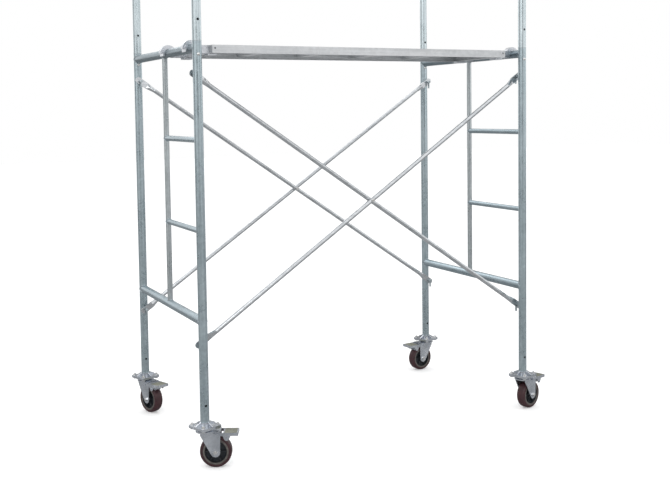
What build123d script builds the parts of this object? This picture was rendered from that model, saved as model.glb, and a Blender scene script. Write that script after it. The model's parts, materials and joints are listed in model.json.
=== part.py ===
from build123d import *
import os
from math import atan2, degrees, hypot

os.makedirs("parts", exist_ok=True)

# A rolling scaffold bay of galvanised steel tube: two ladder end frames on swivel casters,
# joined by two crossed pairs of braces and one hook-on plank, with the next lift's posts started.
# +Z is up, the floor is Z = 0 and the origin lies on it, midway between the four posts.
# X runs along the bay, Y across it: left is -X, front is -Y. Lengths are in millimetres.

# Overall sizes
BAY_LENGTH = 1829.0          # between the end frames' post axes
FRAME_WIDTH = 1000.0         # between the two posts of an end frame
POST_LENGTH = 1775.0         # a lower post, end to end
UPPER_POST_LENGTH = 360.0    # a post of the next lift, as far as it is carried
RUNG_PITCH = 420.0           # between rails and rungs, centre to centre
TOP_RAIL_DROP = 30.0         # post top to top rail centre
RUNG_COUNT = 2

# Tubes
POST_R = 21.2
POST_WALL = 2.3
RUNG_R = 13.45
RUNG_WALL = 2.0
BRACE_R = 11.0
BRACE_WALL = 1.8

# Lock holes and coupling pins
LOCK_HOLE_R = 6.0
LOCK_HOLE_FROM_END = 94.0
RIVET_ROOM = 1.3             # rivet head to the top rail
RIVET_R = 5.0
RIVET_HEAD_R = 7.5
RIVET_HEAD_HEIGHT = 3.5
RIVET_CLEARANCE = 0.15
PIN_CLEARANCE = 0.4          # between a coupling pin or stem and the post's bore
PIN_WALL = 3.0
PIN_INSERT = 130.0           # length of a coupling pin inside each post
COLLAR_HEIGHT = 4.0
COLLAR_PROUD = 0.8
PIN_CHAMFER = 1.5

# Brace studs and their gravity latches
STUD_PITCH = 1250.0
STUD_DROP = 150.0            # post top to the upper stud
STUD_R = 8.0
STUD_REACH = 66.0            # post axis to the stud's tip
STUD_FOOT_R = 11.5
STUD_FOOT_HEIGHT = 4.0
STUD_CHAMFER = 1.2
LATCH_THICKNESS = 4.0
LATCH_WIDTH = 14.0
LATCH_DROP = 40.0            # pivot to the latch's lower end
LATCH_RISE = 8.0             # pivot to its upper end
LATCH_SIDE_CLEARANCE = 0.3
LATCH_PIN_R = 2.5
LATCH_PIN_FROM_TIP = 9.0
LATCH_END_ROOM = 1.5
LATCH_PIN_SHORT = 1.0        # the pin stops this far inside the stud's round
LATCH_END_FLAT = 1.2         # flat left at the latch's rounded ends
HINGE_CLEARANCE = 0.05       # radial, in every pin joint that turns

# Braces
BRACE_PLANE = 40.0           # post axis to the plane of the flattened ends
BRACE_END_THICKNESS = 5.5
BRACE_END_WIDTH = 32.0
BRACE_END_OVERHANG = 27.0    # eye to the rounded tip
BRACE_FLAT_LENGTH = 46.0     # eye to where the flat starts to round out
BRACE_FLARE_LENGTH = 44.0
BRACE_EYE_CLEARANCE = 0.6
BRACE_TIP_FLAT = 1.0         # flat left at the rounded tip
BRACE_CROSS_GAP = 0.5        # between the two tubes where they cross
PIVOT_BOLT_R = 5.0
PIVOT_BOLT_CLEARANCE = 0.2
PIVOT_BOLT_TAIL = 6.0

# Plank
PLANK_WIDTH = 480.0
PLANK_FROM_POST_AXIS = 35.0  # front post axis to the plank's front edge
PLANK_END_GAP = 86.0         # top rail axis to the plank's end
PLANK_HEIGHT = 38.0
PLANK_BELOW_RAIL_TOP = 3.0
PLANK_SHEET = 2.0
PLANK_LIP = 16.0
PLANK_RIB_COUNT = 4
PLANK_RIB_WIDTH = 50.0
PLANK_RIB_DEPTH = 22.0
END_CHANNEL_SHEET = 2.5
END_CHANNEL_FLANGE = 30.0
HOOK_SPACING = 350.0
HOOK_WIDTH = 56.0
HOOK_CLEARANCE = 0.4         # hook to rail
HOOK_THICKNESS = 9.0
HOOK_RIB_HEIGHT = 10.0
HOOK_RIB_WIDTH = 30.0
HOOK_TAIL_LENGTH = 44.0
HOOK_TAIL_THICKNESS = 9.0
HOOK_NOSE_DROP = 14.0        # how far the hook's nose hangs below the rail's centre

# Casters
WHEEL_R = 75.0
WHEEL_WIDTH = 50.0
TYRE_DEPTH = 14.0
TYRE_EDGE = 6.0
HUB_PROUD = 3.5              # the hub's end, past the tread's side
HUB_R = 17.0
HUB_CHAMFER = 2.0
WEB_SLOPE = 4.0              # how far the web runs out into the hub and the rim
WEB_THICKNESS = 14.0
RIM_DEPTH = 9.0
RIM_INSET = 1.0              # the rim's side, inside the tread's
TRAIL = 50.0                 # swivel axis to the wheel's axle
AXLE_R = 6.0
AXLE_HEAD_R = 10.5
AXLE_HEAD_HEIGHT = 7.0
AXLE_TAIL = 4.0
FORK_SHEET = 5.0
FORK_HUB_GAP = 0.8           # hub's end to the fork's inner face
FORK_BOSS_R = 22.0
FORK_BACK = 20.0             # swivel axis to the fork's rear edge at the top
FORK_FRONT = 74.0            # swivel axis to its front edge at the top
CROWN_HEADROOM = 22.0        # wheel's top to the top of the fork's crown
CROWN_R = 44.0
CROWN_THICKNESS = 6.0
CROWN_SKIRT = 10.0           # depth of the fork's straight edge below the crown
RACE_GAP = 0.6
RACE_R = 42.0
RACE_DEPTH = 11.4
RACE_TAPER = 6.0
KINGPIN_R = 8.0
KINGPIN_HEAD_R = 13.0
KINGPIN_HEAD_HEIGHT = 5.0
KINGPIN_CHAMFER = 1.5
CASTER_PLATE = 112.0
CASTER_PLATE_CORNER = 8.0
CASTER_PLATE_THICKNESS = 6.0
PLATE_BOLT_R = 5.0
PLATE_BOLT_SPACING = 84.0
PLATE_BOLT_STANDS = 12.0     # bolt above the leg plate
PLATE_BOLT_CLEARANCE = 0.5
PLATE_BOLT_CHAMFER = 1.0
HEX_RADIUS = 9.2
HEX_EASE_LOW = 1.06          # the cone that eases a hex's corners, as shares of its radius
HEX_EASE_HIGH = 0.93
HEX_HEIGHT = 7.0
BOLT_HEAD_HEIGHT = 6.0

# Leg sockets
SOCKET_CLEARANCE = 0.4
SOCKET_WALL = 4.5
SOCKET_HEIGHT = 16.0
STEM_HEIGHT = 150.0
GUSSET_THICKNESS = 5.0
GUSSET_HEIGHT = 18.0
GUSSET_EDGE = 3.0            # left upright at the gusset's thin end

# Brake pedals
PEDAL_PIVOT_X = 45.0
PEDAL_PIVOT_DROP = 11.0      # below the crown's top
PEDAL_PIVOT_R = 4.0
PEDAL_PIVOT_HEAD_R = 7.0
PEDAL_SHEET = 3.0
PEDAL_SIDE_GAP = 0.6
PEDAL_ARM_HEIGHT = 12.0
PEDAL_TREAD_START = 88.0
PEDAL_TREAD_END = 156.0
PEDAL_TREAD_DROP = 4.0
PEDAL_SKIRT = 14.0
SHOE_X = 103.0
SHOE_DROP = 29.0
SHOE_CHEEK_R = 12.0
SHOE_GAP = 6.0               # shoe to tread with the brake off
SHOE_WIDTH = 36.0
SHOE_THICKNESS = 8.0
SHOE_RIVET_PROUD = 2.6       # past the pedal's sheet
JOIN_DEPTH = 1.0             # how far one piece of a solid runs into the next

# How each caster stands: its place in X and Y, and which way it trails
CASTERS = {
    "front_left": (-1, -1, -26.5),
    "front_right": (1, -1, 17.5),
    "back_left": (-1, 1, -70.0),
    "back_right": (1, 1, -172.0),
}
PLATE_TURN = 18.5            # how the square caster plates stand to the bay

# Heights that follow
CROWN_Z = 2 * WHEEL_R + CROWN_HEADROOM
PEDAL_PIVOT_Z = CROWN_Z - PEDAL_PIVOT_DROP
PEDAL_TREAD_Z = CROWN_Z - PEDAL_TREAD_DROP
SHOE_Z = CROWN_Z - SHOE_DROP
PLATE_BASE_Z = CROWN_Z + RACE_GAP + RACE_DEPTH
LEG_PLATE_Z = PLATE_BASE_Z + CASTER_PLATE_THICKNESS
POST_FOOT_Z = LEG_PLATE_Z + CASTER_PLATE_THICKNESS
POST_TOP_Z = POST_FOOT_Z + POST_LENGTH
UPPER_FOOT_Z = POST_TOP_Z + COLLAR_HEIGHT
TOP_RAIL_Z = POST_TOP_Z - TOP_RAIL_DROP
LOW_RAIL_Z = TOP_RAIL_Z - (RUNG_COUNT + 1) * RUNG_PITCH
STUD_HIGH_Z = POST_TOP_Z - STUD_DROP
STUD_LOW_Z = STUD_HIGH_Z - STUD_PITCH
PLANK_TOP_Z = TOP_RAIL_Z + POST_R - PLANK_BELOW_RAIL_TOP
PLANK_BOTTOM_Z = PLANK_TOP_Z - PLANK_HEIGHT

# Places and radii that follow
RIVET_FROM_TOP = TOP_RAIL_DROP + POST_R + RIVET_HEAD_R + RIVET_ROOM
HUB_WIDTH = WHEEL_WIDTH + 2 * HUB_PROUD
RIM_WIDTH = WHEEL_WIDTH - 2 * RIM_INSET
HALF_LENGTH = BAY_LENGTH / 2
HALF_WIDTH = FRAME_WIDTH / 2
POST_BORE_R = POST_R - POST_WALL
PIN_R = POST_BORE_R - PIN_CLEARANCE
PLANK_HALF = HALF_LENGTH - PLANK_END_GAP
PLANK_FRONT_Y = -HALF_WIDTH + PLANK_FROM_POST_AXIS
PLANK_MID_Y = PLANK_FRONT_Y + PLANK_WIDTH / 2
FORK_INNER_Y = HUB_WIDTH / 2 + FORK_HUB_GAP
FORK_OUTER_Y = FORK_INNER_Y + FORK_SHEET
PEDAL_INNER_Y = FORK_OUTER_Y + PEDAL_SIDE_GAP
PEDAL_OUTER_Y = PEDAL_INNER_Y + PEDAL_SHEET
LATCH_PIVOT_REACH = STUD_REACH - LATCH_PIN_FROM_TIP

SIDES = {"left": -1, "right": 1}
ENDS = {"front": -1, "back": 1}
POSTS = [(end, side) for end in ENDS for side in SIDES]


def save(name, solids):
    """Write one node, which holds one solid or several separate ones."""
    if not isinstance(solids, (list, tuple)):
        solids = [solids]
    shape = solids[0] if len(solids) == 1 else Compound(children=list(solids))
    export_step(shape, f"parts/{name}.step")


def rod(start, finish, radius):
    """A solid round bar between two points."""
    start, finish = Vector(*start), Vector(*finish)
    along = finish - start
    bar = Solid.make_cylinder(radius, along.length, Plane(origin=start, z_dir=along))
    return bar


def tube(start, finish, radius, wall):
    """A round tube between two points, open at both ends."""
    return rod(start, finish, radius) - rod(start, finish, radius - wall)


def post_xy(end, side):
    return SIDES[side] * HALF_LENGTH, ENDS[end] * HALF_WIDTH


def cross_hole(x, y, z, radius):
    """A drill through a post, front to back."""
    return rod((x, y - 2 * POST_R, z), (x, y + 2 * POST_R, z), radius)


def hexagon(radius, height, base_z=0.0):
    """A hex head or nut with its corners eased, standing on base_z."""
    block = extrude(Pos(0, 0, base_z) * RegularPolygon(radius, 6), height)
    ease = Pos(0, 0, base_z) * Cone(HEX_EASE_LOW * radius, HEX_EASE_HIGH * radius, height,
                                    align=(Align.CENTER, Align.CENTER, Align.MIN))
    return block & ease


# End frames


def lower_post(end, side):
    x, y = post_xy(end, side)
    body = tube((x, y, POST_FOOT_Z), (x, y, POST_TOP_Z), POST_R, POST_WALL)
    body -= cross_hole(x, y, POST_FOOT_Z + LOCK_HOLE_FROM_END, LOCK_HOLE_R)
    body -= cross_hole(x, y, POST_TOP_Z - RIVET_FROM_TOP, RIVET_R + RIVET_CLEARANCE)
    return body


def upper_post(end, side):
    x, y = post_xy(end, side)
    top = UPPER_FOOT_Z + UPPER_POST_LENGTH
    body = tube((x, y, UPPER_FOOT_Z), (x, y, top), POST_R, POST_WALL)
    return body - cross_hole(x, y, UPPER_FOOT_Z + LOCK_HOLE_FROM_END, LOCK_HOLE_R)


def rail(side, z):
    """A cross rail, coped to the two posts of one end frame."""
    x = SIDES[side] * HALF_LENGTH
    body = tube((x, -HALF_WIDTH, z), (x, HALF_WIDTH, z), POST_R, POST_WALL)
    for end in ENDS:
        y = ENDS[end] * HALF_WIDTH
        body -= rod((x, y, z - 2 * POST_R), (x, y, z + 2 * POST_R), POST_R)
    return body


def centre_upright(side):
    """The thinner upright midway between the posts, coped to both rails."""
    x = SIDES[side] * HALF_LENGTH
    body = tube((x, 0, LOW_RAIL_Z), (x, 0, TOP_RAIL_Z), RUNG_R, RUNG_WALL)
    for z in (LOW_RAIL_Z, TOP_RAIL_Z):
        body -= rod((x, -2 * POST_R, z), (x, 2 * POST_R, z), POST_R)
    return body


def rungs(side):
    """The climbing rungs between the front post and the centre upright."""
    x = SIDES[side] * HALF_LENGTH
    made = []
    for step in range(1, RUNG_COUNT + 1):
        z = LOW_RAIL_Z + step * RUNG_PITCH
        body = tube((x, -HALF_WIDTH, z), (x, 0, z), RUNG_R, RUNG_WALL)
        body -= rod((x, -HALF_WIDTH, z - 2 * POST_R), (x, -HALF_WIDTH, z + 2 * POST_R), POST_R)
        body -= rod((x, 0, z - 2 * RUNG_R), (x, 0, z + 2 * RUNG_R), RUNG_R)
        made.append(body)
    return made


# Coupling pins between the lifts


def coupling_pin(end, side):
    """A tubular pin with a collar, half in the lower post and half in the upper one."""
    x, y = post_xy(end, side)
    body = rod((x, y, POST_TOP_Z - PIN_INSERT), (x, y, UPPER_FOOT_Z + PIN_INSERT), PIN_R)
    body = chamfer(body.edges().filter_by(GeomType.CIRCLE), PIN_CHAMFER)
    body += rod((x, y, POST_TOP_Z), (x, y, UPPER_FOOT_Z), POST_R + COLLAR_PROUD)
    bore_low, bore_high = POST_TOP_Z - 2 * PIN_INSERT, UPPER_FOOT_Z + 2 * PIN_INSERT
    body -= rod((x, y, bore_low), (x, y, bore_high), PIN_R - PIN_WALL)
    body -= cross_hole(x, y, POST_TOP_Z - RIVET_FROM_TOP, RIVET_R + RIVET_CLEARANCE)
    return body - cross_hole(x, y, UPPER_FOOT_Z + LOCK_HOLE_FROM_END, LOCK_HOLE_R)


def coupling_rivet(end, side):
    """The round-headed rivet that holds a coupling pin in its lower post."""
    x, y = post_xy(end, side)
    z = POST_TOP_Z - RIVET_FROM_TOP
    body = rod((x, y - POST_R, z), (x, y + POST_R, z), RIVET_R)
    for way in (-1, 1):
        cap_r = (RIVET_HEAD_R ** 2 + RIVET_HEAD_HEIGHT ** 2) / (2 * RIVET_HEAD_HEIGHT)
        centre = Pos(x, y + way * (POST_R + RIVET_HEAD_HEIGHT - cap_r), z)
        head = centre * Sphere(cap_r)
        root = (x, y + way * (POST_R - JOIN_DEPTH), z)
        keep = rod(root, (x, y + way * (POST_R + 2 * RIVET_HEAD_HEIGHT), z), RIVET_HEAD_R)
        around_post = rod((x, y, z - 2 * POST_R), (x, y, z + 2 * POST_R), POST_R)
        body += (head & keep) - around_post
    return body


# Brace studs and latches


def stud_spots(end, side):
    """The root of each of a post's two studs, and the way they point."""
    x, y = post_xy(end, side)
    return [(x, y, z, -ENDS[end]) for z in (STUD_LOW_Z, STUD_HIGH_Z)]


def brace_stud(x, y, z, inward):
    body = rod((x, y, z), (x, y + inward * STUD_REACH, z), STUD_R)
    body = chamfer(body.edges().filter_by(GeomType.CIRCLE), STUD_CHAMFER)
    body += rod((x, y, z), (x, y + inward * (POST_R + STUD_FOOT_HEIGHT), z), STUD_FOOT_R)
    slot_depth = LATCH_PIN_FROM_TIP + LATCH_RISE + LATCH_END_ROOM
    slot = Box(LATCH_THICKNESS + 2 * LATCH_SIDE_CLEARANCE, slot_depth, 3 * STUD_R)
    body -= Pos(x, y + inward * (STUD_REACH - slot_depth / 2), z) * slot
    pivot_y = y + inward * LATCH_PIVOT_REACH
    pin_reach = STUD_R - LATCH_PIN_SHORT
    body += rod((x - pin_reach, pivot_y, z), (x + pin_reach, pivot_y, z), LATCH_PIN_R)
    return body - rod((x, y, z - 2 * POST_R), (x, y, z + 2 * POST_R), POST_R)


def latch(x, y, z, inward):
    """A flat latch that hangs across the stud's end and flips up in line with it."""
    outline = Rectangle(LATCH_WIDTH, LATCH_DROP + LATCH_RISE)
    outline = fillet(outline.vertices(), (LATCH_WIDTH - LATCH_END_FLAT) / 2)
    outline = Pos(0, (LATCH_RISE - LATCH_DROP) / 2) * outline
    outline -= Circle(LATCH_PIN_R + HINGE_CLEARANCE)
    pivot = Plane(origin=(x, y + inward * LATCH_PIVOT_REACH, z), x_dir=(0, 1, 0), z_dir=(1, 0, 0))
    return extrude(pivot * outline, LATCH_THICKNESS / 2, both=True)


# Braces

BRACE_LENGTH = hypot(BAY_LENGTH, STUD_PITCH)
BRACE_TILT = degrees(atan2(STUD_PITCH, BAY_LENGTH))
BRACE_OFFSET = BRACE_R + BRACE_CROSS_GAP / 2


def brace(end, rising, layer):
    """One brace with flattened ends; layer puts its tube in front of or behind the crossing."""
    half = BRACE_LENGTH / 2
    flat_end = half - BRACE_FLAT_LENGTH
    tube_end = flat_end - BRACE_FLARE_LENGTH
    shift = layer * BRACE_OFFSET
    body = rod((-tube_end, shift, 0), (tube_end, shift, 0), BRACE_R)
    body -= rod((-tube_end, shift, 0), (tube_end, shift, 0), BRACE_R - BRACE_WALL)
    for way in (-1, 1):
        inner = Plane(origin=(way * tube_end, shift, 0), x_dir=(0, 0, 1), z_dir=(way, 0, 0))
        outer = Plane(origin=(way * flat_end, 0, 0), x_dir=(0, 0, 1), z_dir=(way, 0, 0))
        flat = SlotOverall(BRACE_END_WIDTH, BRACE_END_THICKNESS)
        body += loft([inner * Circle(BRACE_R), outer * flat])
        length = BRACE_FLAT_LENGTH + BRACE_END_OVERHANG
        tab = Rectangle(length, BRACE_END_WIDTH)
        tip = tab.vertices().sort_by(Axis.X)[-2:]
        tab = fillet(tip, (BRACE_END_WIDTH - BRACE_TIP_FLAT) / 2)
        tab = Pos(length / 2 - BRACE_FLAT_LENGTH, 0) * tab - Circle(STUD_R + BRACE_EYE_CLEARANCE)
        eye = Plane(origin=(way * half, 0, 0), x_dir=(way, 0, 0), z_dir=(0, 1, 0))
        body += extrude(eye * tab, BRACE_END_THICKNESS / 2, both=True)
    body -= rod((0, -3 * BRACE_R, 0), (0, 3 * BRACE_R, 0), PIVOT_BOLT_R + PIVOT_BOLT_CLEARANCE)
    plane_y = ENDS[end] * (HALF_WIDTH - BRACE_PLANE)
    tilt = -BRACE_TILT if rising else BRACE_TILT
    middle_z = (STUD_LOW_Z + STUD_HIGH_Z) / 2
    return Pos(0, plane_y, middle_z) * Rot(0, tilt, 0) * body


def pivot_spot(end):
    return ENDS[end] * (HALF_WIDTH - BRACE_PLANE), (STUD_LOW_Z + STUD_HIGH_Z) / 2


def pivot_bolt(end):
    """The bolt through both braces where they cross, with its head at the back."""
    y, z = pivot_spot(end)
    reach = BRACE_OFFSET + BRACE_R
    body = rod((0, y - reach - HEX_HEIGHT - PIVOT_BOLT_TAIL, z), (0, y + reach, z), PIVOT_BOLT_R)
    head = Pos(0, y + reach, z) * Rot(-90, 0, 0) * hexagon(HEX_RADIUS, BOLT_HEAD_HEIGHT)
    return body + head


def pivot_nut(end):
    y, z = pivot_spot(end)
    reach = BRACE_OFFSET + BRACE_R
    blank = hexagon(HEX_RADIUS, HEX_HEIGHT) - Cylinder(PIVOT_BOLT_R, 4 * HEX_HEIGHT)
    return Pos(0, y - reach, z) * Rot(90, 0, 0) * blank


# Plank


def plank_deck():
    """The pressed deck: a sheet with turned-down sides, inward lips and cross ribs."""
    length = 2 * PLANK_HALF
    outer = Box(length, PLANK_WIDTH, PLANK_HEIGHT)
    inner = Box(2 * length, PLANK_WIDTH - 2 * PLANK_SHEET, PLANK_HEIGHT - 2 * PLANK_SHEET)
    mouth = Box(2 * length, PLANK_WIDTH - 2 * PLANK_LIP, PLANK_HEIGHT)
    body = outer - inner - Pos(0, 0, -PLANK_SHEET) * mouth
    for count in range(PLANK_RIB_COUNT):
        x = length * ((count + 1) / (PLANK_RIB_COUNT + 1) - 0.5)
        rib = Box(PLANK_RIB_WIDTH, PLANK_WIDTH - 2 * PLANK_SHEET, PLANK_RIB_DEPTH)
        hollow = Box(PLANK_RIB_WIDTH - 2 * PLANK_SHEET, PLANK_WIDTH, PLANK_RIB_DEPTH)
        rib -= Pos(0, 0, PLANK_SHEET) * hollow
        rise = PLANK_HEIGHT / 2 - PLANK_SHEET - PLANK_RIB_DEPTH / 2
        body += Pos(x, 0, rise) * rib
    return Pos(0, PLANK_MID_Y, PLANK_TOP_Z - PLANK_HEIGHT / 2) * body


def end_channel(way):
    """The channel that closes one end of the deck."""
    height = PLANK_HEIGHT - 2 * PLANK_SHEET
    width = PLANK_WIDTH - 2 * PLANK_SHEET
    body = Box(END_CHANNEL_FLANGE, width, height)
    hollow = Box(END_CHANNEL_FLANGE, 2 * width, height - 2 * END_CHANNEL_SHEET)
    body -= Pos(-way * END_CHANNEL_SHEET, 0, 0) * hollow
    x = way * (PLANK_HALF - END_CHANNEL_FLANGE / 2)
    return Pos(x, PLANK_MID_Y, PLANK_TOP_Z - PLANK_HEIGHT / 2) * body


def hook(way, across):
    """A hook over a top rail, with a raised rib on its back and a tail under the deck."""
    bend_r = POST_R + HOOK_CLEARANCE
    outer_r = bend_r + HOOK_THICKNESS
    rib_r = outer_r + HOOK_RIB_HEIGHT
    root = -PLANK_END_GAP
    floor = PLANK_BOTTOM_Z - TOP_RAIL_Z
    roof = PLANK_TOP_Z - TOP_RAIL_Z
    arch = Circle(outer_r)
    nose = Pos(outer_r / 2, -HOOK_NOSE_DROP / 2) * Rectangle(outer_r, HOOK_NOSE_DROP)
    block = Pos(root / 2, (roof + floor) / 2) * Rectangle(-root, roof - floor)
    tail = Pos(root - HOOK_TAIL_LENGTH / 2 + HOOK_TAIL_THICKNESS, floor - HOOK_TAIL_THICKNESS / 2)
    tail = tail * Rectangle(HOOK_TAIL_LENGTH, HOOK_TAIL_THICKNESS)
    below = Pos(0, -rib_r) * Rectangle(2 * bend_r, 2 * rib_r)
    under = Pos(0, -HOOK_NOSE_DROP - rib_r) * Rectangle(6 * rib_r, 2 * rib_r)
    cover = arch - (under & arch) + nose + block
    cover = cover - Circle(bend_r) - below + tail
    rib = Circle(rib_r) - Circle(outer_r - JOIN_DEPTH)
    rib -= Pos(0, -rib_r) * Rectangle(4 * rib_r, 2 * rib_r)
    rib -= Pos(root / 2 - rib_r, 0) * Rectangle(rib_r * 2, 4 * rib_r)
    side = Plane(origin=(0, 0, 0), x_dir=(1, 0, 0), z_dir=(0, -1, 0))
    body = extrude(side * cover, HOOK_WIDTH / 2, both=True)
    body += extrude(side * rib, HOOK_RIB_WIDTH / 2, both=True)
    body = Rot(0, 0, 0 if way > 0 else 180) * body
    return Pos(way * HALF_LENGTH, PLANK_MID_Y + across * HOOK_SPACING / 2, TOP_RAIL_Z) * body


# Leg sockets and the casters' fixed plates


def square_plate(base_z):
    """A square plate with rounded corners and four bolt holes."""
    outline = Rectangle(CASTER_PLATE, CASTER_PLATE)
    outline = fillet(outline.vertices(), CASTER_PLATE_CORNER)
    holes = GridLocations(PLATE_BOLT_SPACING, PLATE_BOLT_SPACING, 2, 2)
    outline -= holes * Circle(PLATE_BOLT_R + PLATE_BOLT_CLEARANCE)
    return extrude(Pos(0, 0, base_z) * outline, CASTER_PLATE_THICKNESS)


def leg_socket():
    """A cup on a gusseted plate, with a stem that goes up inside the post."""
    bore = POST_R + SOCKET_CLEARANCE
    wall_r = bore + SOCKET_WALL
    body = square_plate(LEG_PLATE_Z)
    body += rod((0, 0, POST_FOOT_Z), (0, 0, POST_FOOT_Z + SOCKET_HEIGHT), wall_r)
    run = CASTER_PLATE / 2
    foot = POST_FOOT_Z - JOIN_DEPTH
    top = POST_FOOT_Z + GUSSET_HEIGHT
    fin = Polygon((0, foot), (run, foot), (run, POST_FOOT_Z + GUSSET_EDGE), (bore, top), (0, top),
                  align=None)
    upright = Plane(origin=(0, 0, 0), x_dir=(1, 0, 0), z_dir=(0, -1, 0))
    blade = extrude(upright * fin, GUSSET_THICKNESS / 2, both=True)
    for turn in (0, 90, 180, 270):
        body += Rot(0, 0, turn) * blade
    body -= rod((0, 0, POST_FOOT_Z), (0, 0, POST_FOOT_Z + 2 * GUSSET_HEIGHT), bore)
    body += tube((0, 0, POST_FOOT_Z - JOIN_DEPTH), (0, 0, POST_FOOT_Z + STEM_HEIGHT), PIN_R, PIN_WALL)
    lock = Rot(0, 0, -PLATE_TURN) * cross_hole(0, 0, POST_FOOT_Z + LOCK_HOLE_FROM_END, LOCK_HOLE_R)
    return body - lock


def caster_top():
    """The caster's own plate with the upper ball race pressed under it."""
    body = square_plate(PLATE_BASE_Z)
    race = Pos(0, 0, PLATE_BASE_Z - RACE_DEPTH) * Cone(RACE_R - RACE_TAPER, RACE_R, RACE_DEPTH,
                                                       align=(Align.CENTER, Align.CENTER, Align.MIN))
    body += race
    return body - Cylinder(KINGPIN_R, 8 * CROWN_Z)


def kingpin():
    """The swivel pin: riveted into the plate and headed under the fork's crown."""
    low = CROWN_Z - CROWN_THICKNESS - RACE_GAP
    body = rod((0, 0, low), (0, 0, LEG_PLATE_Z), KINGPIN_R)
    head = rod((0, 0, low - KINGPIN_HEAD_HEIGHT), (0, 0, low), KINGPIN_HEAD_R)
    head = chamfer(head.edges().sort_by(Axis.Z)[0], KINGPIN_CHAMFER)
    return body + head


def plate_bolt():
    low = PLATE_BASE_Z
    body = rod((0, 0, low), (0, 0, POST_FOOT_Z + PLATE_BOLT_STANDS), PLATE_BOLT_R)
    body = chamfer(body.edges().filter_by(GeomType.CIRCLE).sort_by(Axis.Z)[-1], PLATE_BOLT_CHAMFER)
    return body + hexagon(HEX_RADIUS, BOLT_HEAD_HEIGHT, low - BOLT_HEAD_HEIGHT)


def plate_nut():
    blank = hexagon(HEX_RADIUS, HEX_HEIGHT, POST_FOOT_Z)
    return blank - rod((0, 0, 0), (0, 0, POST_TOP_Z), PLATE_BOLT_R)


def leg_frame(corner):
    """Where a caster's plates stand: on the post's axis, turned to the plates' angle."""
    side, end, _ = CASTERS[corner]
    return Pos(side * HALF_LENGTH, end * HALF_WIDTH, 0) * Rot(0, 0, PLATE_TURN)


def on_bolts(piece):
    """Copies of a fastener at the four bolt holes of every caster."""
    made = []
    for corner in CASTERS:
        for spot in GridLocations(PLATE_BOLT_SPACING, PLATE_BOLT_SPACING, 2, 2):
            made.append(leg_frame(corner) * spot * piece)
    return made


# Moving parts of a caster, drawn with the swivel axis on Z and the trail along +X


def fork():
    """The pressed fork: a round crown and two tapered cheeks."""
    crown = rod((0, 0, CROWN_Z - CROWN_THICKNESS), (0, 0, CROWN_Z), CROWN_R)
    deck_mid = (FORK_FRONT - FORK_BACK) / 2
    deck = Box(FORK_FRONT + FORK_BACK, 2 * FORK_OUTER_Y, CROWN_THICKNESS)
    crown += Pos(deck_mid, 0, CROWN_Z - CROWN_THICKNESS / 2) * deck
    skirt_z = CROWN_Z - CROWN_THICKNESS - CROWN_SKIRT
    edges = Pos(TRAIL, WHEEL_R) * Circle(FORK_BOSS_R).edge()
    top = Pos(deck_mid, (CROWN_Z + skirt_z) / 2) * Rectangle(FORK_FRONT + FORK_BACK, CROWN_Z - skirt_z)
    outline = make_hull([edges, *top.edges()])
    side = Plane(origin=(0, 0, 0), x_dir=(1, 0, 0), z_dir=(0, -1, 0))
    body = extrude(side * outline, FORK_OUTER_Y, both=True)
    body -= extrude(side * outline, FORK_INNER_Y, both=True)
    body += crown
    body -= rod((0, 0, 0), (0, 0, 2 * CROWN_Z), KINGPIN_R + HINGE_CLEARANCE)
    axle_hole_r = AXLE_R + PIVOT_BOLT_CLEARANCE
    body -= rod((TRAIL, -2 * WHEEL_R, WHEEL_R), (TRAIL, 2 * WHEEL_R, WHEEL_R), axle_hole_r)
    for way in (-1, 1):
        pin = (PEDAL_PIVOT_X, way * FORK_INNER_Y, PEDAL_PIVOT_Z)
        end = (PEDAL_PIVOT_X, way * (PEDAL_OUTER_Y + PEDAL_SIDE_GAP), PEDAL_PIVOT_Z)
        cap = (PEDAL_PIVOT_X, way * (PEDAL_OUTER_Y + PEDAL_SIDE_GAP + PEDAL_SHEET), PEDAL_PIVOT_Z)
        body += rod(pin, end, PEDAL_PIVOT_R) + rod(end, cap, PEDAL_PIVOT_HEAD_R)
    return body


def axle_bolt():
    """The wheel's bolt, with its head on one cheek and its nut on the other."""
    reach = FORK_OUTER_Y
    shank = rod((TRAIL, -reach - AXLE_HEAD_HEIGHT - AXLE_TAIL, WHEEL_R), (TRAIL, reach, WHEEL_R), AXLE_R)
    head = Pos(TRAIL, reach, WHEEL_R) * Rot(-90, 0, 0) * hexagon(AXLE_HEAD_R, AXLE_HEAD_HEIGHT)
    nut = hexagon(AXLE_HEAD_R, AXLE_HEAD_HEIGHT) - Cylinder(AXLE_R, 4 * AXLE_HEAD_HEIGHT)
    nut = Pos(TRAIL, -reach, WHEEL_R) * Rot(90, 0, 0) * nut
    return [shank + head, nut]


def wheel_ring(points):
    """Turn a half section, given as radius and half width pairs, about the axle."""
    outline = [(r, w) for r, w in points] + [(r, -w) for r, w in reversed(points)]
    section = Plane.XY * Polygon(*outline, align=None)
    ring = revolve(section, Axis.Y)
    return Pos(TRAIL, 0, WHEEL_R) * ring


def wheel_core():
    """The hub, web and rim of the wheel, turned in one piece."""
    bore = AXLE_R + HINGE_CLEARANCE
    rim_r = WHEEL_R - TYRE_DEPTH
    inner = rim_r - RIM_DEPTH
    points = [
        (bore, HUB_WIDTH / 2), (HUB_R - HUB_CHAMFER, HUB_WIDTH / 2),
        (HUB_R, HUB_WIDTH / 2 - HUB_CHAMFER), (HUB_R + WEB_SLOPE, WEB_THICKNESS / 2),
        (inner - WEB_SLOPE, WEB_THICKNESS / 2),
        (inner, RIM_WIDTH / 2), (rim_r, RIM_WIDTH / 2),
    ]
    return wheel_ring(points)


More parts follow.
